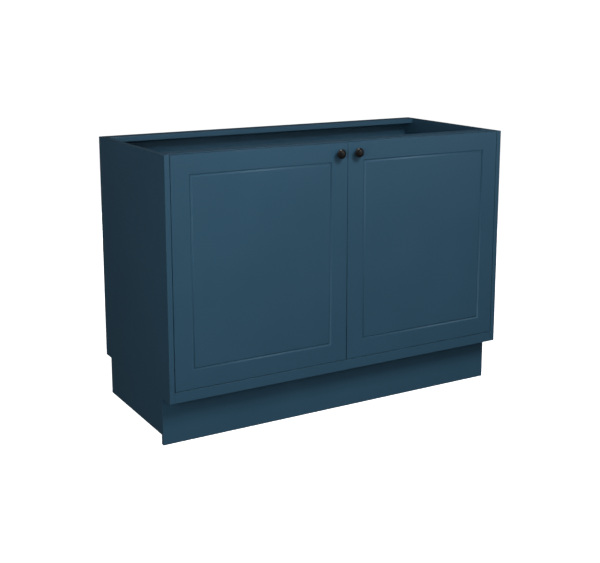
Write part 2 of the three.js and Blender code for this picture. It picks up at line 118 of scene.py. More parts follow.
LIGHT_DISTANCE = 3.5
LIGHT_SIZE = 1.2
LIGHT_AIM = np.array([0.0, 0.0, 0.45])


def soft_light(name, turn, rise, watts, fills):
    """A square light on a circle about the cabinet, which either fills or glints. Its turn is in degrees from
    the cabinet's front towards its right, and its rise is in degrees above level."""
    data = bpy.data.lights.new(name, "AREA")
    data.shape = "SQUARE"
    data.size = LIGHT_SIZE
    data.energy = watts
    light = bpy.data.objects.new(name, data)
    turn, rise = math.radians(turn), math.radians(rise)
    away = np.array([math.sin(turn) * math.cos(rise), -math.cos(turn) * math.cos(rise), math.sin(rise)])
    light.location = LIGHT_AIM + LIGHT_DISTANCE * away
    light.rotation_euler = (0.5 * math.pi - rise, 0.0, turn)
    light.visible_glossy = not fills
    light.visible_diffuse = fills
    scene.collection.objects.link(light)


for name, turn, rise, watts, fills in (
    ("key", 10, 45, 78.0, True),
    ("left_fill", -50, 12, 40.0, True),
    ("front_fill", -10, 12, 16.0, True),
    ("side_fill", -110, 25, 8.7, True),
    ("right_fill", 105, 3, 30.0, True),
    ("rear_fill", 190, 3, 45.0, True),
    ("overhead_glint", 0, 88, 34.0, False),
    ("edge_glint", 25, 30, 12.0, False),
    ("left_glint", -110, 25, 6.0, False),
    ("high_left_glint", -80, 45, 6.0, False),
    ("right_glint", 40, 12, 3.6, False),
    ("front_glint", 10, 12, 2.0, False),
    ("far_right_glint", 100, 6, 5.0, False),
):
    soft_light(name, turn, rise, watts, fills)

# Painted boards: fibreboard cut to size and sprayed with satin lacquer on every face and edge. Arrises are
# eased by hand sanding, so each board is a prism with small rounded edges.
BOARD_EASE = 0.0009
CORNER_EASE = 0.0016

BLUE = (0.0285, 0.078, 0.125)
# Paler blue, painted in patches on the eased arrises as a highlight along the edges.
EDGE_HIGHLIGHT_BLUE = (0.048, 0.112, 0.165)
CLOUD_BLUE = tuple(1.07 * share for share in BLUE)
FLECK_BLUE = tuple(0.8 * share for share in BLUE)
SATIN_ROUGHNESS = (0.35, 0.42)
ARRIS_ROUGHNESS = 0.20


def noise_node(tree, coordinates, scale, detail, roughness=0.55):
    """Fractal noise over a set of coordinates."""
    node = tree.nodes.new("ShaderNodeTexNoise")
    node.inputs["Scale"].default_value = scale
    node.inputs["Detail"].default_value = detail
    node.inputs["Roughness"].default_value = roughness
    tree.links.new(coordinates, node.inputs["Vector"])
    return node.outputs["Fac"]


def ranged(tree, value, low, high, start=0.35, end=0.65):
    """A value carried from one range to another, clamped."""
    node = tree.nodes.new("ShaderNodeMapRange")
    node.inputs["From Min"].default_value = start
    node.inputs["From Max"].default_value = end
    node.inputs["To Min"].default_value = low
    node.inputs["To Max"].default_value = high
    tree.links.new(value, node.inputs["Value"])
    return node.outputs["Result"]


def mixed(tree, share, first, second):
    """A blend of two colours, each a fixed colour or another node's output."""
    node = tree.nodes.new("ShaderNodeMix")
    node.data_type = "RGBA"
    tree.links.new(share, node.inputs["Factor"])
    for socket, colour in ((node.inputs[6], first), (node.inputs[7], second)):
        if isinstance(colour, tuple):
            socket.default_value = (*colour, 1.0)
        else:
            tree.links.new(colour, socket)
    return node.outputs[2]


def bumped(tree, height, distance, strength, below=None):
    """A surface normal roughened by a height, over another bump if one is given."""
    node = tree.nodes.new("ShaderNodeBump")
    node.inputs["Distance"].default_value = distance
    node.inputs["Strength"].default_value = strength
    tree.links.new(height, node.inputs["Height"])
    if below is not None:
        tree.links.new(below, node.inputs["Normal"])
    return node.outputs["Normal"]


def lacquer():
    """Satin blue lacquer: slow tone shifts, fine spray texture, and rubbed, glossier arrises with a painted
    highlight.
    """
    material = bpy.data.materials.new("blue_lacquer")
    material.use_nodes = True
    tree = material.node_tree
    shader = tree.nodes["Principled BSDF"]
    place = tree.nodes.new("ShaderNodeTexCoord").outputs["Object"]
    clouds = ranged(tree, noise_node(tree, place, scale=2.2, detail=3.0), low=0.0, high=1.0)
    speckle = noise_node(tree, place, scale=420.0, detail=2.0)
    spray = noise_node(tree, place, scale=1500.0, detail=1.0)
    tone = mixed(tree, clouds, BLUE, CLOUD_BLUE)
    flecked = mixed(tree, ranged(tree, speckle, low=0.0, high=0.10), tone, FLECK_BLUE)
    edge = tree.nodes.new("ShaderNodeAttribute")
    edge.attribute_name = "arris"
    # The eased arrises are painted paler blue in patches, as a highlight along the edges.
    edge_highlight_share = tree.nodes.new("ShaderNodeMath")
    edge_highlight_share.operation = "MULTIPLY"
    tree.links.new(edge.outputs["Fac"], edge_highlight_share.inputs[0])
    patches = noise_node(tree, place, scale=38.0, detail=4.0)
    tree.links.new(ranged(tree, patches, low=0.15, high=0.8), edge_highlight_share.inputs[1])
    wear_and_highlight = mixed(tree, edge_highlight_share.outputs["Value"], flecked, EDGE_HIGHLIGHT_BLUE)
    tree.links.new(wear_and_highlight, shader.inputs["Base Color"])
    satin = ranged(tree, noise_node(tree, place, scale=9.0, detail=4.0), *SATIN_ROUGHNESS)
    rubbed = tree.nodes.new("ShaderNodeMix")
    rubbed.inputs["B"].default_value = ARRIS_ROUGHNESS
    tree.links.new(edge.outputs["Fac"], rubbed.inputs["Factor"])
    tree.links.new(satin, rubbed.inputs["A"])
    tree.links.new(rubbed.outputs["Result"], shader.inputs["Roughness"])
    skin = bumped(tree, speckle, distance=0.0004, strength=0.10)
    tree.links.new(bumped(tree, spray, distance=0.0002, strength=0.08, below=skin), shader.inputs["Normal"])
    shader.inputs["Specular IOR Level"].default_value = 0.45
    return material


blue_lacquer = lacquer()


def grid_faces(rows, columns):
    """Quads between neighbouring rows of a grid whose columns close on themselves."""
    index = np.arange(rows * columns).reshape(rows, columns)
    beside = np.roll(index, -1, axis=1)
    return np.stack([index[:-1], beside[:-1], beside[1:], index[1:]], -1).reshape(-1, 4)


def mesh_object(name, points, faces, arris=None):
    """A mesh object with its place in its mesh, and each point's share of edge wear and painted highlight if
    given.
    """
    mesh = bpy.data.meshes.new(name)
    mesh.from_pydata(np.asarray(points).tolist(), [], faces)
    if arris is not None:
        mesh.attributes.new("arris", "FLOAT", "POINT").data.foreach_set("value", arris)
    piece = bpy.data.objects.new(name, mesh)
    scene.collection.objects.link(piece)
    return piece


def cut_away(piece, cutters):
    """Takes closed shapes out of a piece for good, and deletes them."""
    for cutter in cutters:
        step = piece.modifiers.new("cut", "BOOLEAN")
        step.solver = "EXACT"
        step.object = cutter
    graph = bpy.context.evaluated_depsgraph_get()
    piece.data = bpy.data.meshes.new_from_object(piece.evaluated_get(graph))
    piece.modifiers.clear()
    for cutter in cutters:
        bpy.data.objects.remove(cutter)


def finished(piece, material, body, nodes=()):
    """Gives a piece its material, the body that it moves with, its finish and the nodes it stands for."""
    piece.data.polygons.foreach_set("use_smooth", [True] * len(piece.data.polygons))
    piece.data.materials.clear()
    piece.data.materials.append(material)
    piece.modifiers.new("flat faces stay flat", "WEIGHTED_NORMAL").weight = 90
    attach(piece, body)
    if nodes:
        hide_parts(*nodes)


def outline_normals(outline):
    """Outward mitre directions at the corners of an anticlockwise outline: the sum of the two sides' normals,
    scaled to keep an inset even."""
    ahead = np.roll(outline, -1, axis=0) - outline
    ahead = ahead / np.linalg.norm(ahead, axis=1, keepdims=True)
    normal = np.column_stack([ahead[:, 1], -ahead[:, 0]])
    before = np.roll(normal, 1, axis=0)
    total = normal + before
    return 2.0 * total / (total * total).sum(1, keepdims=True)


def eased_prism(outline, start, end, ease, steps=4):
    """A prism on an anticlockwise outline from start to end, with arrises of radius ease: each ring of points
    is the outline inset by ease * (1 - cos a), at a depth of ease * (1 - sin a) inside each end."""
    mitre = outline_normals(outline)
    angle = np.linspace(0.0, 0.5 * math.pi, steps + 1)
    inset = ease * (1.0 - np.cos(angle))
    sink = ease * (1.0 - np.sin(angle))
    insets = np.concatenate([inset[::-1], inset])
    depths = np.concatenate([start + sink[::-1], end - sink])
    rings = outline[None] - insets[:, None, None] * mitre[None]
    points = np.concatenate([rings, np.broadcast_to(depths[:, None, None], (*rings.shape[:2], 1))], -1)
    count = len(outline)
    faces = grid_faces(len(insets), count).tolist()
    last = (len(insets) - 1) * count
    faces += [list(range(count))[::-1], list(range(last, last + count))]
    shine = np.sin(2.0 * angle)
    arris = np.repeat(np.concatenate([shine[::-1], shine]), count)
    return points.reshape(-1, 3), faces, arris


def rounded_outline(corners, radius, steps=3):
    """An outline whose convex and hollow corners are all turned with short arcs: each arc's points lie on a
    quadratic curve that meets the two sides a radius away from the corner."""
    corners = np.asarray(corners, float)
    back = np.roll(corners, 1, axis=0) - corners
    ahead = np.roll(corners, -1, axis=0) - corners
    back = corners + radius * back / np.linalg.norm(back, axis=1, keepdims=True)
    ahead = corners + radius * ahead / np.linalg.norm(ahead, axis=1, keepdims=True)
    t = np.linspace(0.0, 1.0, steps + 1)[None, :, None]
    curve = (1 - t) ** 2 * back[:, None] + 2 * t * (1 - t) * corners[:, None] + t**2 * ahead[:, None]
    return curve.reshape(-1, 2)


def box_corners(low, high, across, along):
    """The corners of a rectangle, anticlockwise from its lowest one."""
    return [
        (low[across], low[along]),
        (high[across], low[along]),
        (high[across], high[along]),
        (low[across], high[along]),
    ]


def board(name, node, thin_axis, corners=None, cutters=()):
    """A board that fills a node's box, or an outline in it, and is thin along one axis."""
    low, high = (np.array(corner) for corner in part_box(node))
    across, along = ((1, 2), (2, 0), (0, 1))[thin_axis]
    if corners is None:
        corners = box_corners(low, high, across, along)
    outline = rounded_outline(corners, CORNER_EASE)
    flat, faces, arris = eased_prism(outline, low[thin_axis], high[thin_axis], BOARD_EASE)
    points = np.empty_like(flat)
    points[:, [across, along, thin_axis]] = flat
    piece = mesh_object(name, points, faces, arris)
    if cutters:
        cut_away(piece, cutters)
    finished(piece, blue_lacquer, "carcass", [node])


for name, node, thin in (
    ("cabinet_floor", "bottom_panel", 2),
    ("strip_under_doors", "bottom_front_rail", 1),
    ("front_top_crossrail", "front_top_rail", 2),
    ("back_top_crossrail", "back_top_rail", 2),
    ("back_board", "back_panel", 1),
    ("kick_board", "plinth_board", 1),
):
    board(name, node, thin)

# Side boards: one sheet each, sawn out in front for the toe space and behind for the room's skirting. The
# back board sits in a rebate along the inner rear edge.
HANDS = {"left": -1.0, "right": 1.0}
SKIRTING_NOTCH = 0.042
FIT = 0.0003
CUTTER_REACH = 0.001
back_low, back_high = (np.array(corner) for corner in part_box("back_panel"))
strip_low, strip_high = (np.array(corner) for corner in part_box("bottom_front_rail"))
kick_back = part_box("plinth_board")[1][1]


def block(low, high):
    """A plain closed block to cut with."""
    turn = np.array([[0, 0], [1, 0], [1, 1], [0, 1]])
    shares = np.concatenate([np.column_stack([turn, np.full(4, level)]) for level in (0, 1)])
    faces = grid_faces(2, 4).tolist() + [[3, 2, 1, 0], [4, 5, 6, 7]]
    return mesh_object("cutter", low + shares * (np.array(high) - low), faces)


for hand, sign in HANDS.items():
    low, high = (np.array(corner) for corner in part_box(f"side_panel_{hand}"))
    toe_back = kick_back + FIT
    notch_front = high[1] - SKIRTING_NOTCH
    corners = [
        (low[1], strip_low[2]),
        (toe_back, strip_low[2]),
        (toe_back, low[2]),
        (notch_front, low[2]),
        (notch_front, back_low[2]),
        (high[1], back_low[2]),
        (high[1], high[2]),
        (low[1], high[2]),
    ]
    reach = sorted([sign * (back_high[0] + FIT), sign * (strip_high[0] - CUTTER_REACH)])
    rebate = block(
        np.array([reach[0], back_low[1] - FIT, back_low[2] - CUTTER_REACH]),
        np.array([reach[1], high[1] + CUTTER_REACH, high[2] + CUTTER_REACH]),
    )
    board(f"{hand}_side_board", f"side_panel_{hand}", 0, corners, [rebate])

# Door leaves: thick fibreboard slabs with a V groove routed all round the front, bored behind for the hinge
# cups and drilled through for the knob screw, then sprayed like the carcass.
GROOVE_INSET = 0.060
GROOVE_DEPTH = 0.004
DOOR_EASE = 0.0009
LIP_EASE = 0.0012
FLAT_MARGIN = 0.01
CUP_BORE_RADIUS = 0.0175
CUP_BORE_DEPTH = 0.0128
SCREW_HOLE_RADIUS = 0.0025


def rounded_line(corners, radii, steps=5):
    """An open line of corners, each of them turned with a quadratic curve that starts and ends its own radius
    away, and a measure for each point that rises from 0 to 1 at the middle of its corner."""
    corners = np.asarray(corners, float)
    ahead = np.diff(corners, axis=0)
    ahead = ahead / np.linalg.norm(ahead, axis=1, keepdims=True)
    radii = np.asarray(radii, float)[:, None]
    start = corners[1:-1] - radii * ahead[:-1]
    end = corners[1:-1] + radii * ahead[1:]
    t = np.linspace(0.0, 1.0, steps + 1)[None, :, None]
    curve = (1 - t) ** 2 * start[:, None] + 2 * t * (1 - t) * corners[1:-1, None] + t**2 * end[:, None]
    along = np.tile(4.0 * t[0, :, 0] * (1.0 - t[0, :, 0]), len(corners) - 2)
    line = np.concatenate([corners[:1], curve.reshape(-1, 2), corners[-1:]])
    return line, np.concatenate([[0], along, [0]])


def framed_slab(low, high, section):
    """A slab whose section is carried round a rectangle, from behind to the front: each ring is the rectangle
    inset by the section's first number, at its second number behind the front face."""
    inset, depth = section.T[:, :, None]
    right = np.array([0.0, 1.0, 1.0, 0.0])
    upper = np.array([0.0, 0.0, 1.0, 1.0])
    x = low[0] + inset + right * (high[0] - low[0] - 2.0 * inset)
    z = low[2] + inset + upper * (high[2] - low[2] - 2.0 * inset)
    y = low[1] + np.broadcast_to(depth, x.shape)
    last = 4 * (len(section) - 1)
    faces = grid_faces(len(section), 4).tolist() + [[3, 2, 1, 0], [last, last + 1, last + 2, last + 3]]
    return np.stack([x, y, z], -1).reshape(-1, 3), faces


def turned(profile, sides=64):
    """A surface turned about the z axis: each (radius, height) of the profile is carried round a full circle.
    A profile that starts and ends on the axis is closed there by single points. Any other one closes on
    itself, so its last ring is its first again and the faces wrap round to that."""
    profile = np.asarray(profile, float)
    around = np.linspace(0.0, 2.0 * math.pi, sides, endpoint=False)
    capped = profile[0, 0] == 0.0
    rings = profile[1:-1] if capped else np.concatenate([profile, profile[:1]])
    radius, height = rings.T[:, :, None]
    points = np.stack([radius * np.cos(around), radius * np.sin(around), height + 0.0 * around], -1)
    points = points.reshape(-1, 3)
    if not capped:
        faces = grid_faces(len(rings), sides) % (sides * (len(rings) - 1))
        return points[:-sides], faces.tolist()
    first, last = len(points), len(points) + 1
    start = np.arange(sides)
    end = start + sides * (len(rings) - 1)
    faces = grid_faces(len(rings), sides).tolist()
    faces += np.column_stack([np.full(sides, first), np.roll(start, -1), start]).tolist()
    faces += np.column_stack([np.full(sides, last), end, np.roll(end, -1)]).tolist()
    poles = [[0.0, 0.0, profile[0, 1]], [0.0, 0.0, profile[-1, 1]]]
    return np.concatenate([points, poles]), faces


def aimed(points, place, axis):
    """Points drawn about the z axis, turned so that z lies along an axis, and set down at a place."""
    axis = np.asarray(axis, float)
    side = np.eye(3)[np.argmin(np.abs(axis))]
    return np.asarray(place) + points @ np.stack([side, np.cross(axis, side), axis])


def drill(radius, place, axis, depth):
    """A round cutter that starts a little outside a face and runs to a depth."""
    points, faces = turned([(0, -CUTTER_REACH), (radius, -CUTTER_REACH), (radius, depth), (0, depth)])
    return mesh_object("cutter", aimed(points, place, axis), faces)


for hand in HANDS:
    low, high = (np.array(corner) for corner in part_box(f"door_{hand}"))
    thickness = high[1] - low[1]
    outer_lip, inner_lip = GROOVE_INSET - GROOVE_DEPTH, GROOVE_INSET + GROOVE_DEPTH
    section, arris = rounded_line(
        [
            (FLAT_MARGIN, thickness),
            (0.0, thickness),
            (0.0, 0.0),
            (outer_lip, 0.0),
            (GROOVE_INSET, GROOVE_DEPTH),
            (inner_lip, 0.0),
            (inner_lip + FLAT_MARGIN, 0.0),
        ],
        [DOOR_EASE, DOOR_EASE, LIP_EASE, LIP_EASE, LIP_EASE],
    )
    points, faces = framed_slab(low, high, section)
    arris[(section[:, 1] > GROOVE_DEPTH / 2) & (section[:, 0] > DOOR_EASE)] = 0.0
    leaf = mesh_object(f"{hand}_door_leaf", points, faces, np.repeat(arris, 4))
    cutters = []
    for level in ("upper", "lower"):
        cup_low, cup_high = (np.array(corner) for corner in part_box(f"hinge_{hand}_{level}_cup"))
        middle = (cup_low + cup_high) / 2.0
        cutters.append(drill(CUP_BORE_RADIUS, (middle[0], high[1], middle[2]), (0, -1, 0), CUP_BORE_DEPTH))
    knob_low, knob_high = (np.array(corner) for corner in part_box(f"knob_{hand}"))
    knob_middle = (knob_low + knob_high) / 2.0
    hole_start = (knob_middle[0], high[1], knob_middle[2])
    cutters.append(drill(SCREW_HOLE_RADIUS, hole_start, (0, -1, 0), thickness + CUTTER_REACH))
    cut_away(leaf, cutters)
    finished(leaf, blue_lacquer, f"{hand}_door", [f"door_{hand}"])

# Knobs: turned mushroom heads in a dark, almost black bronze, each drawn up against the door by a machine
# screw through it from behind. The rim and the crown are rubbed a little brighter by hands.
BRONZE = (0.008, 0.008, 0.009)
BROWN_BLOOM = (0.014, 0.012, 0.011)
RUBBED_BRONZE = (0.050, 0.047, 0.045)


def dark_bronze():
    """Dark patinated bronze: near black, a browner bloom, fine turning marks and rubbed high points."""
    material = bpy.data.materials.new("dark_bronze")
    material.use_nodes = True
    tree = material.node_tree
    shader = tree.nodes["Principled BSDF"]
    place = tree.nodes.new("ShaderNodeTexCoord").outputs["Object"]
    bloom = ranged(tree, noise_node(tree, place, scale=90.0, detail=4.0), low=0.0, high=1.0)
    tone = mixed(tree, bloom, BRONZE, BROWN_BLOOM)
    rub = tree.nodes.new("ShaderNodeAttribute")
    rub.attribute_name = "arris"
    wear_and_highlight = mixed(tree, rub.outputs["Fac"], tone, RUBBED_BRONZE)
    tree.links.new(wear_and_highlight, shader.inputs["Base Color"])
    shader.inputs["Metallic"].default_value = 0.25
    sheen = ranged(tree, noise_node(tree, place, scale=160.0, detail=5.0), low=0.26, high=0.36)
    tree.links.new(sheen, shader.inputs["Roughness"])
    grain = noise_node(tree, place, scale=1400.0, detail=3.0)
    tree.links.new(bumped(tree, grain, distance=0.0002, strength=0.12), shader.inputs["Normal"])
    return material


def lathe_section(corners, radii, steps=5):
    """A section for turning, softened at its corners, that starts and ends on the axis."""
    section, _ = rounded_line(corners, radii, steps)
    section[[0, -1], 0] = 0.0
    return section


dark_bronze_finish = dark_bronze()
KNOB_SECTION = [
    (0.0, 0.0003),
    (0.0072, 0.0003),
    (0.0056, 0.0036),
    (0.0054, 0.0065),
    (0.0082, 0.0098),
    (0.0148, 0.0122),
    (0.0150, 0.0160),
    (0.0118, 0.0212),
    (0.0060, 0.0237),
    (0.0, 0.0240),
]
KNOB_EASES = [0.0008, 0.0012, 0.0012, 0.0018, 0.0011, 0.0018, 0.0026, 0.0026]
KNOB_CORNER_STEPS = 7
KNOB_SIDES = 96
RIM_RADIUS, RIM_WIDTH, RIM_BASE = 0.0148, 0.0009, 0.012
CROWN_WIDTH, CROWN_BASE = 0.004, 0.02
RIM_RUB, CROWN_RUB = 0.6, 0.35
for hand in HANDS:
    knob_low, knob_high = (np.array(corner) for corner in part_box(f"knob_{hand}"))
    door_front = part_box(f"door_{hand}")[0][1]
    middle = (knob_low + knob_high) / 2.0
    section = lathe_section(KNOB_SECTION, KNOB_EASES, KNOB_CORNER_STEPS)
    points, faces = turned(section, KNOB_SIDES)
    radius, height = section[1:-1].T
    rim = RIM_RUB * np.exp(-(((radius - RIM_RADIUS) / RIM_WIDTH) ** 2)) * (height > RIM_BASE)
    crown = CROWN_RUB * np.exp(-((radius / CROWN_WIDTH) ** 2)) * (height > CROWN_BASE)
    rubbed = np.concatenate([np.repeat(rim + crown, KNOB_SIDES), [0.0, CROWN_RUB]])
    placed = aimed(points, (middle[0], door_front, middle[2]), (0, -1, 0))
    knob = mesh_object(f"{hand}_knob_head", placed, faces, rubbed)
    finished(knob, dark_bronze_finish, f"{hand}_door", [f"knob_{hand}"])

# Screws: zinc-plated steel, each with a shallow pan head and a cross recess. They hold the knobs, the hinge
# plates and cups, the leg sockets, the plinth clips and the wall brackets.


def plated_steel(name, dark, light, rough):
    """Plated pressed steel: cool grey with clouding, fine drawing marks, and edges polished by handling."""
    material = bpy.data.materials.new(name)
    material.use_nodes = True
    tree = material.node_tree
    shader = tree.nodes["Principled BSDF"]
    place = tree.nodes.new("ShaderNodeTexCoord").outputs["Object"]
    clouds = ranged(tree, noise_node(tree, place, scale=55.0, detail=5.0), low=0.0, high=1.0)
    tone = mixed(tree, clouds, dark, light)
    stretch = tree.nodes.new("ShaderNodeMapping")
    stretch.inputs["Scale"].default_value = (1.0, 1.0, 14.0)
    tree.links.new(place, stretch.inputs["Vector"])
    marks = noise_node(tree, stretch.outputs["Vector"], scale=180.0, detail=3.0)
    edge = tree.nodes.new("ShaderNodeBevel")
    edge.samples = 4
    edge.inputs["Radius"].default_value = 0.0006
    geometry = tree.nodes.new("ShaderNodeNewGeometry")
    turn = tree.nodes.new("ShaderNodeVectorMath")
    turn.operation = "DOT_PRODUCT"
    tree.links.new(edge.outputs["Normal"], turn.inputs[0])
    tree.links.new(geometry.outputs["Normal"], turn.inputs[1])
    polish = ranged(tree, turn.outputs["Value"], low=0.7, high=0.0, start=0.80, end=0.99)
    wear_and_highlight = mixed(tree, polish, tone, tuple(1.25 * share for share in light))
    tree.links.new(wear_and_highlight, shader.inputs["Base Color"])
    shader.inputs["Metallic"].default_value = 0.55
    tree.links.new(ranged(tree, marks, low=rough, high=rough + 0.14), shader.inputs["Roughness"])
    tree.links.new(bumped(tree, marks, distance=0.0001, strength=0.15), shader.inputs["Normal"])
    return material


zinc_plate = plated_steel("zinc_plate", (0.36, 0.39, 0.42), (0.50, 0.53, 0.55), 0.34)
nickel_plate = plated_steel("nickel_plate", (0.50, 0.50, 0.48), (0.66, 0.65, 0.62), 0.22)
SCREW_SIDES = 48
HEAD_SHARES = np.concatenate([np.linspace(0.06, 0.72, 14), [0.84, 0.93, 0.98, 1.0]])
CROSS_ARM, CROSS_ARM_SLOPE = 0.17, 0.05
CROSS_REACH, CROSS_REACH_SLOPE = 0.60, 0.08
CROSS_DEPTH = 0.55


def screw_head(radius, height):
    """A pan head over a full turn: its height falls from the middle as the square root of 1.02 less the
    fourth power of the share of the radius. A cross is sunk in it, with arms a third of the radius wide that
    end 0.6 of the radius out, where they are half as deep as in the middle."""
    around = np.linspace(0.0, 2.0 * math.pi, SCREW_SIDES, endpoint=False)
    share = HEAD_SHARES[:, None]
    x = share * radius * np.cos(around)
    y = share * radius * np.sin(around)
    dome = height * np.sqrt(1.02 - share**4)
    arm = CROSS_ARM * radius
    reach = CROSS_REACH * radius
    near = np.minimum(np.abs(x), np.abs(y))
    far = np.maximum(np.abs(x), np.abs(y))
    between_sides = np.clip((arm - near) / (CROSS_ARM_SLOPE * radius) + 0.5, 0, 1)
    before_end = np.clip((reach - far) / (CROSS_REACH_SLOPE * radius) + 0.5, 0, 1)
    top = dome - CROSS_DEPTH * height * between_sides * before_end * (1.0 - 0.5 * far / reach)
    rings = np.stack([x, y, top], -1)[::-1]
    foot = np.stack([x[-1], y[-1], 0.0 * x[-1]], -1)[None]
    points = np.concatenate([foot, rings]).reshape(-1, 3)
    count = len(rings) + 1
    faces = grid_faces(count, SCREW_SIDES).tolist()
    last = (count - 1) * SCREW_SIDES
    faces += [list(range(SCREW_SIDES))[::-1], list(range(last, last + SCREW_SIDES))]
    return points, faces


def joined(*parts):
    """Several closed surfaces as one list of points and faces."""
    points, faces, count = [], [], 0
    for part_points, part_faces in parts:
        points.append(part_points)
        faces += [[index + count for index in face] for face in part_faces]
        count += len(part_points)
    return np.concatenate(points), faces


def screw_group(name, places, axis, radius, height, body):
    """Several screw heads as one piece, each standing on a surface at its place."""
    points, faces = screw_head(radius, height)
    heads = mesh_object(name, *joined(*((aimed(points, place, axis), faces) for place in places)))
    finished(heads, zinc_plate, body)


ROD_RADIUS = 0.002
ROD_SIDES = 24
ROD_OVERLAP = 0.0002
for hand in HANDS:
    screw_low, screw_high = (np.array(corner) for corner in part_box(f"knob_screw_{hand}"))
    middle = (screw_low + screw_high) / 2.0
    door_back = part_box(f"door_{hand}")[1][1]
    head, head_faces = screw_head((screw_high[0] - screw_low[0]) / 2.0, screw_high[1] - door_back - FIT)
    head = aimed(head, (middle[0], door_back + FIT, middle[2]), (0, 1, 0))
    length = door_back - screw_low[1] + ROD_OVERLAP
    rod, rod_faces = turned([(0, 0), (ROD_RADIUS, 0), (ROD_RADIUS, length), (0, length)], ROD_SIDES)
    rod = aimed(rod, (middle[0], screw_low[1], middle[2]), (0, 1, 0))
    screw = mesh_object(f"{hand}_knob_screw_part", *joined((head, head_faces), (rod, rod_faces)))
    finished(screw, zinc_plate, f"{hand}_door", [f"knob_screw_{hand}"])

# Concealed hinges: nickel-plated pressed steel. On each, a cross plate is screwed to the side board, the arm
# sits on it, and two links on pins carry the cup that is pressed and screwed into the door.
HINGE_EASE = 0.0003
MERGE_DISTANCE = 2e-6
FLAT_ANGLE = math.radians(1.0)
SHARP_ANGLE = math.radians(38.0)
WING_RISE = 0.0185
FLANGE_RISE = 0.0235
ARM_HEIGHT = 0.011
REAR_SCREW_SETBACK = 0.023
FRONT_SCREW_SETBACK = 0.021


def dressed_copy(name, node, ease, material, body):
    """A node's own shape, merged into whole faces, with its sharp edges broken by a small bevel."""
    whole = bmesh.new()
    whole.from_mesh(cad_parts[node].data)
    bmesh.ops.remove_doubles(whole, verts=whole.verts, dist=MERGE_DISTANCE)
    bmesh.ops.dissolve_limit(whole, angle_limit=FLAT_ANGLE, verts=whole.verts, edges=whole.edges)
    mesh = bpy.data.meshes.new(name)
    whole.to_mesh(mesh)
    whole.free()
    piece = bpy.data.objects.new(name, mesh)
    scene.collection.objects.link(piece)
    bevel = piece.modifiers.new("broken edges", "BEVEL")
    bevel.width = ease
    bevel.segments = 2
    bevel.limit_method = "ANGLE"
    bevel.angle_limit = SHARP_ANGLE
    bevel.use_clamp_overlap = True
    finished(piece, material, body, [node])


for hand, sign in HANDS.items():
    for level in ("upper", "lower"):
        hinge = f"hinge_{hand}_{level}"
        for part, body in (
            ("plate", "carcass"),
            ("arm", "carcass"),
            ("cup", f"{hand}_door"),
            ("outer_link", f"{hand}_outer_links"),
            ("inner_link", f"{hand}_inner_links"),
        ):
            name = f"{hand}_{level}_hinge_{part}"
            dressed_copy(name, f"{hinge}_{part}", HINGE_EASE, nickel_plate, body)
        plate_low, plate_high = (np.array(corner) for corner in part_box(f"{hinge}_plate"))
        arm_low, arm_high = (np.array(corner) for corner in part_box(f"{hinge}_arm"))
        cup_low, cup_high = (np.array(corner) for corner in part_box(f"{hinge}_cup"))
        middle = (plate_low + plate_high) / 2.0
        inner_face = plate_high[0] if sign < 0 else plate_low[0]
        places = [(inner_face, middle[1], middle[2] + step * WING_RISE) for step in (-1, 1)]
        screw_group(f"{hand}_{level}_plate_screws", places, (-sign, 0, 0), 0.0038, 0.0016, "carcass")
        cup_middle = (cup_low + cup_high) / 2.0
        places = [(cup_middle[0], cup_high[1], cup_middle[2] + step * FLANGE_RISE) for step in (-1, 1)]
        screw_group(f"{hand}_{level}_cup_screws", places, (0, 1, 0), 0.0036, 0.0014, f"{hand}_door")
        side_face = sign * (strip_high[0] + FIT)
        block_face = side_face - sign * ARM_HEIGHT
        places = [
            (block_face, arm_high[1] - REAR_SCREW_SETBACK, middle[2]),
            (block_face, arm_low[1] + FRONT_SCREW_SETBACK, middle[2]),
        ]
        screw_group(f"{hand}_{level}_adjusting_screws", places, (-sign, 0, 0), 0.0034, 0.0014, "carcass")

# Legs: black moulded polypropylene. Each has a flanged socket screwed up under the cabinet floor, a tube
# pushed into it, and a foot whose coarse threaded stem screws into the tube to level the cabinet.


def moulded_plastic(name, dark, light, rough):
    """Moulded plastic: slight clouding, a fine spark-eroded skin and a few scuffs."""
    material = bpy.data.materials.new(name)
    material.use_nodes = True
    tree = material.node_tree
    shader = tree.nodes["Principled BSDF"]
    place = tree.nodes.new("ShaderNodeTexCoord").outputs["Object"]
    clouds = ranged(tree, noise_node(tree, place, scale=24.0, detail=4.0), low=0.0, high=1.0)
    tone = mixed(tree, clouds, dark, light)
    scratches = noise_node(tree, place, scale=70.0, detail=6.0, roughness=0.75)
    scuffs = ranged(tree, scratches, low=0.0, high=0.6, start=0.60, end=0.72)
    scuffed = mixed(tree, scuffs, tone, tuple(min(1.0, 2.2 * share + 0.01) for share in light))
    tree.links.new(scuffed, shader.inputs["Base Color"])
    sheen = noise_node(tree, place, scale=120.0, detail=4.0)
    tree.links.new(ranged(tree, sheen, low=rough, high=rough + 0.12), shader.inputs["Roughness"])
    skin = noise_node(tree, place, scale=1100.0, detail=2.0)
    tree.links.new(bumped(tree, skin, distance=0.0002, strength=0.22), shader.inputs["Normal"])
    return material


black_moulding = moulded_plastic("black_moulding", (0.011, 0.012, 0.013), (0.016, 0.017, 0.018), 0.42)
LEG_RADIUS = 0.015
SOCKET_FLANGE = 0.005
SOCKET_WALL = 0.003
SOCKET_FLARE = 0.012
SOCKET_EASES = [0.0006, 0.0006, 0.0008, 0.004, 0.001, 0.0012]
SOCKET_SCREW_CIRCLE = 0.0265
SOCKET_SCREW_SINK = 0.0001
TUBE_WALL = 0.0026
TUBE_CHAMFER = 0.0006
FOOT_RIM = 0.006
FOOT_SHOULDER = 0.013
FOOT_EASES = [0.0012, 0.0018, 0.002, 0.0006]
THREAD_PITCH = 0.003
THREAD_DEPTH = 0.0011
THREAD_ROWS = 6
STEM_RADIUS = 0.0119
STEM_SIDES = 32
STEM_OVERLAP = 0.001


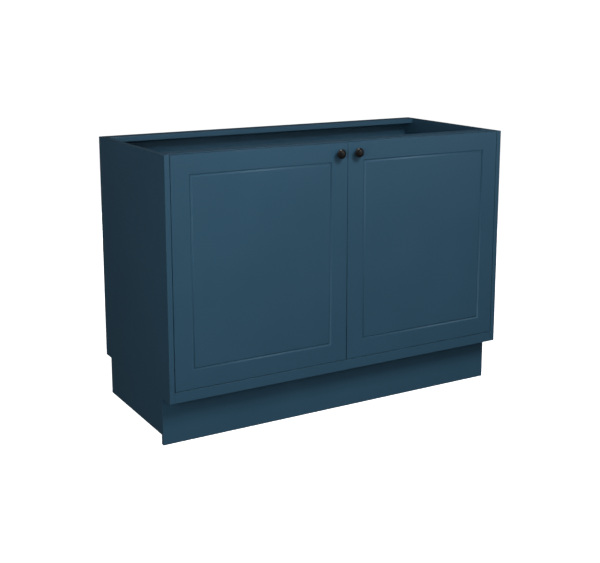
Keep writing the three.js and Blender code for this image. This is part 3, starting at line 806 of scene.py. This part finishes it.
def threaded_stem(bottom, top):
    """A threaded rod: its radius falls from the crest by up to the thread depth, as a clipped triangle wave
    of the height in pitches less the turn in full circles."""
    around = np.linspace(0.0, 2.0 * math.pi, STEM_SIDES, endpoint=False)
    rows = int(round((top - bottom) / THREAD_PITCH * THREAD_ROWS)) + 1
    height = np.linspace(bottom, top, rows)[:, None]
    phase = (height / THREAD_PITCH - around / (2.0 * math.pi)) % 1.0
    radius = STEM_RADIUS - THREAD_DEPTH * np.clip(1.6 * np.abs(2.0 * phase - 1.0) - 0.3, 0.0, 1.0)
    points = np.stack([radius * np.cos(around), radius * np.sin(around), height + 0.0 * around], -1)
    faces = grid_faces(rows, STEM_SIDES).tolist()
    last = (rows - 1) * STEM_SIDES
    faces += [list(range(STEM_SIDES))[::-1], list(range(last, last + STEM_SIDES))]
    return points.reshape(-1, 3), faces


for row in ("front", "rear"):
    for column in ("left", "middle", "right"):
        node = f"leg_{row}_{column}"
        label = f"{row}_{column}"
        socket_low, socket_high = (np.array(corner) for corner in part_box(f"{node}_socket"))
        tube_low, tube_high = (np.array(corner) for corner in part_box(f"{node}_tube"))
        foot_low, foot_high = (np.array(corner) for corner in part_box(f"{node}_foot"))
        middle = (tube_low + tube_high) / 2.0
        place = (middle[0], middle[1], 0.0)
        top = socket_high[2]
        under = top - SOCKET_FLANGE
        bore = LEG_RADIUS + FIT
        wall = bore + SOCKET_WALL
        flange = (socket_high[1] - socket_low[1]) / 2.0
        socket = turned(
            lathe_section(
                [
                    (0, under),
                    (bore, under),
                    (bore, socket_low[2]),
                    (wall, socket_low[2]),
                    (wall, under - SOCKET_FLARE),
                    (flange, under),
                    (flange, top),
                    (0, top),
                ],
                SOCKET_EASES,
            )
        )
        piece = mesh_object(f"{label}_leg_socket", socket[0] + place, socket[1])
        finished(piece, black_moulding, "carcass", [f"{node}_socket"])
        places = [
            (
                middle[0] + SOCKET_SCREW_CIRCLE * math.cos(turn),
                middle[1] + SOCKET_SCREW_CIRCLE * math.sin(turn),
                under - SOCKET_SCREW_SINK,
            )
            for turn in math.pi * (0.25 + 0.5 * np.arange(4))
        ]
        screw_group(f"{label}_socket_screws", places, (0, 0, -1), 0.0040, 0.0018, "carcass")
        tube_bore = LEG_RADIUS - TUBE_WALL
        tube = turned(
            [
                (tube_bore, tube_low[2]),
                (LEG_RADIUS - TUBE_CHAMFER, tube_low[2]),
                (LEG_RADIUS, tube_low[2] + TUBE_CHAMFER),
                (LEG_RADIUS, tube_high[2]),
                (tube_bore, tube_high[2]),
            ]
        )
        piece = mesh_object(f"{label}_leg_tube", tube[0] + place, tube[1])
        finished(piece, black_moulding, "carcass", [f"{node}_tube"])
        foot_radius = (foot_high[0] - foot_low[0]) / 2.0
        shoulder_top = tube_low[2] - FIT
        foot = turned(
            lathe_section(
                [
                    (0, 0),
                    (foot_radius, 0),
                    (foot_radius, FOOT_RIM),
                    (LEG_RADIUS, FOOT_SHOULDER),
                    (LEG_RADIUS, shoulder_top),
                    (0, shoulder_top),
                ],
                FOOT_EASES,
            )
        )
        points, faces = joined(foot, threaded_stem(shoulder_top - STEM_OVERLAP, foot_high[2]))
        piece = mesh_object(f"{label}_leg_foot", points + place, faces)
        finished(piece, black_moulding, f"{label}_foot", [f"{node}_foot"])

# Plinth clips, wall brackets and door pads: black spring clips on the back of the plinth, folded zinc angles
# in the top rear corners for the wall screws, and clear self-adhesive pads where doors meet the front rail.
CLIP_EASE = 0.0006
CLIP_FLANGE = 0.003
CLIP_SCREW_SPREAD = 0.0135
ANGLE_EASE = 0.0004
ANGLE_THICKNESS = 0.002
SIDE_SCREW_SETBACK = 0.019
SIDE_SCREW_LEVELS = (0.27, 0.73)
WALL_SCREW_SETBACK = 0.017
PAD_EASES = [0.0002, 0.0007, 0.0012]
clear_pad = moulded_plastic("clear_pad", (0.62, 0.65, 0.66), (0.72, 0.74, 0.74), 0.24)
for hand, sign in HANDS.items():
    clip_low, clip_high = (np.array(corner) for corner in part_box(f"plinth_clip_{hand}"))
    clip = f"plinth_clip_{hand}"
    dressed_copy(f"{hand}_kick_clip", clip, CLIP_EASE, black_moulding, "carcass")
    clip_middle = (clip_low + clip_high) / 2.0
    places = [
        (clip_middle[0] + step * CLIP_SCREW_SPREAD, clip_low[1] + CLIP_FLANGE, clip_middle[2])
        for step in (-1, 1)
    ]
    screw_group(f"{hand}_kick_clip_screws", places, (0, 1, 0), 0.0036, 0.0015, "carcass")
    bracket_low, bracket_high = (np.array(corner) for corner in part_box(f"wall_bracket_{hand}"))
    angle = f"wall_bracket_{hand}"
    dressed_copy(f"{hand}_wall_angle", angle, ANGLE_EASE, zinc_plate, "carcass")
    side_plane = sign * (strip_high[0] + FIT) - sign * (ANGLE_THICKNESS + FIT)
    screw_row = bracket_high[1] - SIDE_SCREW_SETBACK
    rise = bracket_high[2] - bracket_low[2]
    places = [(side_plane, screw_row, bracket_low[2] + level * rise) for level in SIDE_SCREW_LEVELS]
    screw_group(f"{hand}_angle_side_screws", places, (-sign, 0, 0), 0.0040, 0.0018, "carcass")
    wall_screw_x = sign * (abs(side_plane) - WALL_SCREW_SETBACK)
    back_plane = bracket_high[1] - ANGLE_THICKNESS
    places = [(wall_screw_x, back_plane, (bracket_low[2] + bracket_high[2]) / 2.0)]
    screw_group(f"{hand}_angle_wall_screw", places, (0, -1, 0), 0.0050, 0.0022, "carcass")
    pad_low, pad_high = (np.array(corner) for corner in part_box(f"door_bumper_{hand}"))
    pad_radius = (pad_high[0] - pad_low[0]) / 2.0
    pad_depth = pad_high[1] - pad_low[1]
    dome = turned(
        lathe_section(
            [
                (0, 0),
                (pad_radius, 0),
                (pad_radius, 0.35 * pad_depth),
                (0.7 * pad_radius, pad_depth),
                (0, pad_depth),
            ],
            PAD_EASES,
        )
    )
    pad_place = ((pad_low[0] + pad_high[0]) / 2.0, pad_low[1], (pad_low[2] + pad_high[2]) / 2.0)
    pad = mesh_object(f"{hand}_door_pad", aimed(dome[0], pad_place, (0, 1, 0)), dome[1])
    finished(pad, clear_pad, f"{hand}_door", [f"door_bumper_{hand}"])
